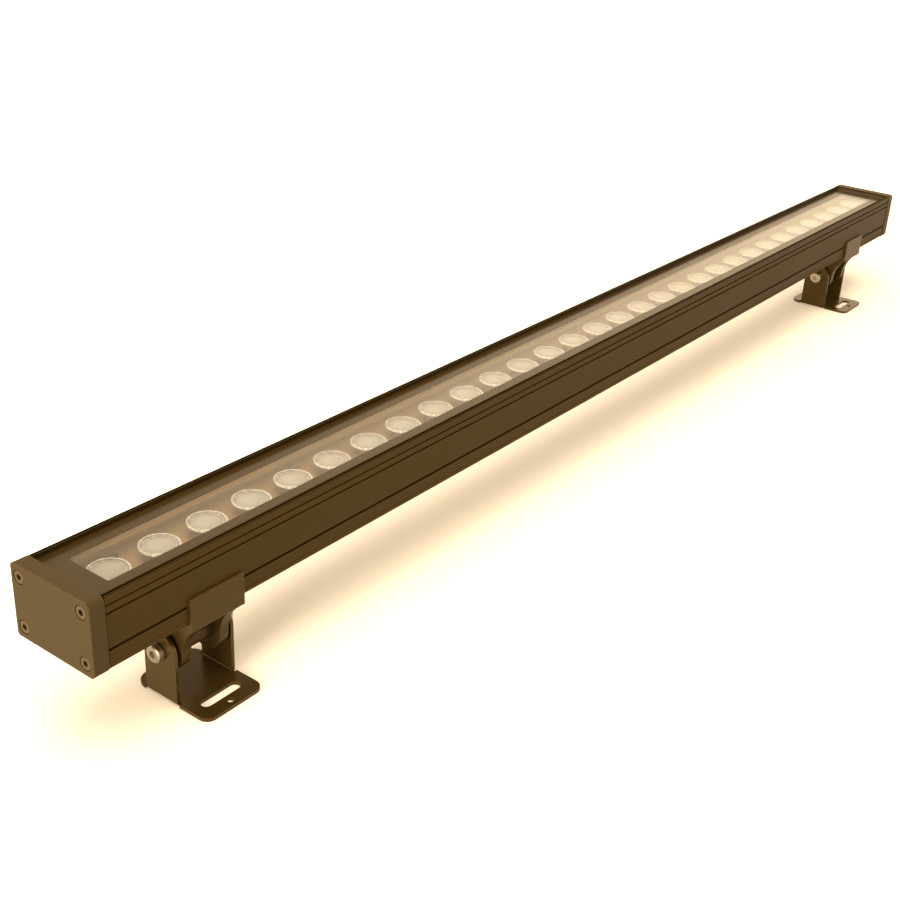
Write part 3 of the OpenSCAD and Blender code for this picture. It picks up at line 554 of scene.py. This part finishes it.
class LIGHT_OT_window(Operator):
    """The clear glass, its printed border and the sealing bead round it"""

    bl_idname = "light.window"
    bl_label = "Window"

    def execute(self, context):
        sizes = context.scene.light_sizes
        looks = context.scene.light_finishes
        look = {"Colour": (0.90, 0.86, 0.80, 1.0), "Uneven": 0.02, "Roughness": 0.03, "Scale": 40.0}
        clear = material("window_glass", moulded_group(), look, transmission_weight=0.98, ior=1.5)
        self.let_light_in(clear)
        paint(clear, "glass")
        self.border(sizes)
        self.bead(sizes)
        ink = powder("border_print", looks.border, cloud=0.05, grain=0.05)
        shader_of(ink).inputs["Coat Weight"].default_value = 0.76
        shader_of(ink).inputs["Coat Roughness"].default_value = 0.20
        paint(ink, "window_border")
        paint(plastic("bead_silicone", (0.030, 0.015, 0.001), rough=0.6, shine=0.08), "window_bead")
        return {"FINISHED"}

    def let_light_in(self, mat):
        """Thin glass casts no shadow of its own: it is left out for shadow and diffuse rays."""
        tree = mat.node_tree
        path = tree.nodes.new("ShaderNodeLightPath").outputs
        left_out = math_node(tree, "MAXIMUM", path["Is Shadow Ray"], path["Is Diffuse Ray"])
        tree.links.new(math_node(tree, "SUBTRACT", 1.0, left_out), shader_of(mat).inputs["Alpha"])

    def recess(self):
        """Middle and half sizes of the recess that the window lies in, between the rails and the end caps."""
        left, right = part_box("near_end_cap")[1].x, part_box("far_end_cap")[0].x
        middle = np.array([(left + right) / 2, (SECTION_LOW.y + SECTION_HIGH.y) / 2])
        return middle, (right - left) / 2, SECTION_HALF - RAIL_WIDTH

    def border(self, sizes):
        """A flat ring on the glass and its shelf: rings of points go from the rails to the clear window's edge."""
        middle, half_x, half_y = self.recess()
        glass_x, glass_y = (GLASS_HIGH.x - GLASS_LOW.x) / 2, (GLASS_HIGH.y - GLASS_LOW.y) / 2
        outer = round_loop(half_x - PRINT_GAP, half_y - PRINT_GAP, PRINT_CORNER)
        inner = round_loop(glass_x - sizes.border_end, glass_y - sizes.border_side, sizes.border_corner)
        share = np.linspace(0, 1, PRINT_RINGS)[:, None, None]
        flat = outer[None] * (1 - share) + inner[None] * share
        z = np.full(flat.shape[:2] + (1,), GLASS_HIGH.z + PRINT_LIFT)
        ring = ring_object("window_border", np.concatenate([flat + middle, z], -1))
        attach(ring, "housing")

    def bead(self, sizes):
        """A hollow fillet in the corner of the rails: a quarter ellipse of points carried round the recess."""
        middle, half_x, half_y = self.recess()
        t = np.linspace(0, np.pi / 2, BEAD_RINGS)
        inset = BEAD_GAP + sizes.bead_width * (1 - np.sin(t))
        lift = BEAD_LIFT + sizes.bead_height * (1 - np.cos(t))
        loops = np.stack([round_loop(half_x - d, half_y - d, BEAD_CORNER) for d in inset])
        z = np.broadcast_to(lift[:, None, None] + GLASS_HIGH.z, loops.shape[:2] + (1,))
        bead = ring_object("window_bead", np.concatenate([loops + middle, z], -1), flip=True)
        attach(bead, "housing")


class LIGHT_OT_light_row(Operator):
    """Boards, diodes, seats and lenses under the window"""

    bl_idname = "light.light_row"
    bl_label = "Light row"

    def execute(self, context):
        looks = context.scene.light_finishes
        board = plastic("board_mask", BOARD_TAN, rough=0.35, uneven=0.12, scale=90.0)
        paint(board, "led_board_1", "led_board_2", "led_board_3", "board_links")
        paint(plastic("diode_phosphor", (0.85, 0.72, 0.42), rough=0.3), "leds_1", "leds_2", "leds_3")
        paint(plastic("seat_plastic", BOARD_TAN), "lens_seats_1", "lens_seats_2", "lens_seats_3")
        look = {"Colour": rgba(looks.lenses), "Uneven": 0.04, "Roughness": 0.06, "Scale": 300.0}
        lens = material("lens_moulding", moulded_group(), look, transmission_weight=0.5, ior=1.49)
        self.painted_lens_shading(lens)
        paint(lens, "lenses_1", "lenses_2", "lenses_3")
        return {"FINISHED"}

    def painted_lens_shading(self, mat):
        """Tells the lens material's painted highlight and shade where the lens axes are: the first, the step to the
        next, and the middle line.
        """
        low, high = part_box("lenses_1")
        radius = (high.y - low.y) / 2
        pitch = (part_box("lenses_2")[0].x - low.x) / LENSES_PER_BOARD
        recolour(mat, lens_shading_group(), "Colour", {
            "Bowl": rgba(BOARD_TAN), "First": low.x + radius, "Pitch": pitch,
            "Middle": (low.y + high.y) / 2, "Radius": radius, "Flange": high.z - LENS_TOP})


class LIGHT_OT_driver(Operator):
    """Driver and terminals in the lower chamber, and the leads that rise through a grommet to the board's plug"""

    bl_idname = "light.driver"
    bl_label = "Driver"

    def execute(self, context):
        paint(metal("driver_aluminium", (0.55, 0.53, 0.50), rough=0.4), "driver_case")
        paint(plastic("driver_black", RUBBER_BLACK, rough=0.45), "driver_ends", "driver_pads")
        paint(plastic("terminal_white", (0.72, 0.69, 0.62), rough=0.4), "terminal_block", "board_plug")
        paint(plastic("lead_sleeve", (0.20, 0.15, 0.09), rough=0.4), "board_leads")
        paint(plastic("grommet_rubber", RUBBER_BLACK, rough=0.6), "web_grommet")
        return {"FINISHED"}


class LIGHT_OT_brackets(Operator):
    """Powder coat on the feet, the hangers and their spacers, with the feet painted darker as shade under the
    housing
    """

    bl_idname = "light.brackets"
    bl_label = "Brackets"

    def execute(self, context):
        rgb = context.scene.light_finishes.brackets
        hanger = powder("hanger_coat", rgb, wear_and_highlight=1.0, rough=0.24, shine=0.35)
        # painted shade: the feet take a darker share of the brackets' colour for the shade under the housing
        foot = powder("foot_coat", [FOOT_PAINTED_SHADE * part for part in rgb], wear_and_highlight=1.4, rough=0.18, shine=0.7)
        paint(hanger, "near_hanger", "far_hanger", "near_spacer", "far_spacer")
        paint(foot, "near_foot", "far_foot")
        return {"FINISHED"}


class LIGHT_OT_fixings(Operator):
    """Plated bolts, nuts, washers and screws, with the thread on the tip of each pivot bolt"""

    bl_idname = "light.fixings"
    bl_label = "Fixings"

    def execute(self, context):
        sizes = context.scene.light_sizes
        looks = context.scene.light_finishes
        plated = metal("plated_steel", looks.fixings, rough=0.26)
        paint(plated, "board_screws",
              "near_pivot_bolt", "near_nut_washer", "near_pivot_nut",
              "far_pivot_bolt", "far_nut_washer", "far_pivot_nut")
        paint(metal("bronzed_steel", looks.cap_screws, rough=0.36), "near_cap_screws", "far_cap_screws")
        paint(metal("spring_steel", (0.16, 0.12, 0.08), rough=0.35),
              "near_lock_washer", "far_lock_washer", "near_clamp_screw", "far_clamp_screw")
        for side in ("near", "far"):
            self.thread(side, sizes)
            paint(plated, side + "_bolt_thread")
        return {"FINISHED"}

    def thread(self, side, sizes):
        """A thread on the bolt's tip: the radius rises and falls once per pitch along a helix round its axis."""
        low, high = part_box(side + "_pivot_bolt")
        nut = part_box(side + "_pivot_nut")[1].x
        cy, cz = (low.y + high.y) / 2, (low.z + high.z) / 2
        x = np.linspace(nut, high.x - THREAD_END, THREAD_RINGS)
        a = np.linspace(0, 2 * np.pi, sizes.thread_steps, endpoint=False)
        xx, aa = np.meshgrid(x, a, indexing="ij")
        phase = (xx / sizes.thread_pitch + aa / (2 * np.pi)) % 1.0
        radius = THREAD_ROOT + THREAD_DEPTH * (0.5 + 0.5 * np.cos(2 * np.pi * phase))
        points = np.stack([xx, cy + radius * np.cos(aa), cz + radius * np.sin(aa)], -1)
        coil = ring_object(side + "_bolt_thread", points)
        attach(coil, side + "_foot_set")


class LIGHT_OT_cable_entry(Operator):
    """Cable gland in the far end cap"""

    bl_idname = "light.cable_entry"
    bl_label = "Cable entry"

    def execute(self, context):
        plate = metal("gland_plate", (0.42, 0.34, 0.24), rough=0.3)
        paint(plate, "gland_body", "gland_nut", "gland_lock_nut")
        paint(plastic("gland_rubber", RUBBER_BLACK, rough=0.6), "gland_ring", "gland_seal")
        return {"FINISHED"}


class LIGHT_OT_stage(Operator):
    """Pale floor, soft studio light and the camera"""

    bl_idname = "light.stage"
    bl_label = "Stage"

    def execute(self, context):
        scene = context.scene
        scene.view_settings.view_transform = "Standard"
        self.floor(scene.light_finishes)
        self.room(scene)
        self.lamps(scene)
        self.camera(scene)
        return {"FINISHED"}

    def floor(self, looks):
        """A wide flat disc: rings of points out from the middle, all at floor height."""
        r = np.concatenate([[FLOOR_HUB], np.geomspace(FLOOR_INNER, FLOOR_OUTER, FLOOR_RINGS)])
        a = np.linspace(0, 2 * np.pi, FLOOR_STEPS, endpoint=False)
        rr, aa = np.meshgrid(r, a, indexing="ij")
        points = np.stack([rr * np.cos(aa), rr * np.sin(aa), np.full_like(rr, -FLOOR_DROP)], -1)
        floor = ring_object("floor", points)
        matt = plastic("floor_matt", looks.floor, rough=0.9, uneven=0.01, scale=30.0, bump=0.0)
        self.soften_bounce(matt)
        paint(matt, "floor")

    def soften_bounce(self, mat):
        """The camera sees the floor's full colour, and all other rays see a share of it."""
        tree = mat.node_tree
        base = shader_of(mat).inputs["Base Color"]
        seen = tree.nodes.new("ShaderNodeLightPath").outputs["Is Camera Ray"]
        share = math_node(tree, "MULTIPLY", seen, 1 - FLOOR_BOUNCE)
        share = math_node(tree, "ADD", share, FLOOR_BOUNCE)
        tree.links.new(scaled(tree, base.links[0].from_socket, share), base)

    def room(self, scene):
        """A world that is bright near the horizon and dim higher up, as in a room with pale walls."""
        scene.world = bpy.data.worlds.new("studio")
        scene.world.use_nodes = True
        tree = scene.world.node_tree
        back = tree.nodes["Background"]
        height = split(tree, coordinate(tree, "Generated"))["Z"]
        tree.links.new(ramp(tree, height, ROOM), back.inputs["Color"])
        back.inputs["Strength"].default_value = ROOM_STRENGTH

    def lamps(self, scene):
        """Soft square lamps, each turned to its aim."""
        for name, place, aim, width, watts in LAMPS:
            lamp = bpy.data.lights.new(name, "AREA")
            lamp.size = width
            lamp.energy = watts
            lamp.color = WARM
            obj = bpy.data.objects.new(name, lamp)
            scene.collection.objects.link(obj)
            obj.location = place
            obj.rotation_euler = (Vector(aim) - Vector(place)).to_track_quat("-Z", "Y").to_euler()
            # the lamp for the far floor isn't mirrored in the window
            obj.visible_glossy = obj.visible_transmission = name != "back"

    def camera(self, scene):
        """The photograph's camera."""
        data = bpy.data.cameras.new("camera")
        data.sensor_width = CAMERA_SENSOR
        data.lens = CAMERA_LENS
        data.clip_start = 0.05
        cam = bpy.data.objects.new("camera", data)
        scene.collection.objects.link(cam)
        turn = Matrix(CAMERA_AXES).transposed().to_4x4()
        cam.matrix_world = Matrix.Translation(CAMERA_PLACE) @ turn
        scene.camera = cam


STEPS = (LIGHT_OT_stage, LIGHT_OT_housing, LIGHT_OT_window, LIGHT_OT_light_row, LIGHT_OT_driver,
         LIGHT_OT_brackets, LIGHT_OT_fixings, LIGHT_OT_cable_entry)


class LIGHT_PT_panel(Panel):
    """Lists the steps and the settings in the sidebar."""

    bl_idname = "LIGHT_PT_panel"
    bl_label = "Wall washer"
    bl_space_type = "VIEW_3D"
    bl_region_type = "UI"
    bl_category = "Wall washer"

    def draw(self, context):
        for step in STEPS:
            self.layout.operator(step.bl_idname)
        for settings in (context.scene.light_sizes, context.scene.light_finishes):
            box = self.layout.box()
            for key in settings.__annotations__:
                box.prop(settings, key)


CLASSES = (LightSizes, LightFinishes, *STEPS, LIGHT_PT_panel)


def register():
    for cls in CLASSES:
        bpy.utils.register_class(cls)
    bpy.types.Scene.light_sizes = PointerProperty(type=LightSizes)
    bpy.types.Scene.light_finishes = PointerProperty(type=LightFinishes)


def unregister():
    del bpy.types.Scene.light_finishes
    del bpy.types.Scene.light_sizes
    for cls in reversed(CLASSES):
        bpy.utils.unregister_class(cls)


def main():
    register()
    bpy.ops.light.stage()
    bpy.ops.light.housing()
    bpy.ops.light.window()
    bpy.ops.light.light_row()
    bpy.ops.light.driver()
    bpy.ops.light.brackets()
    bpy.ops.light.fixings()
    bpy.ops.light.cable_entry()


if __name__ == "__main__":
    main()
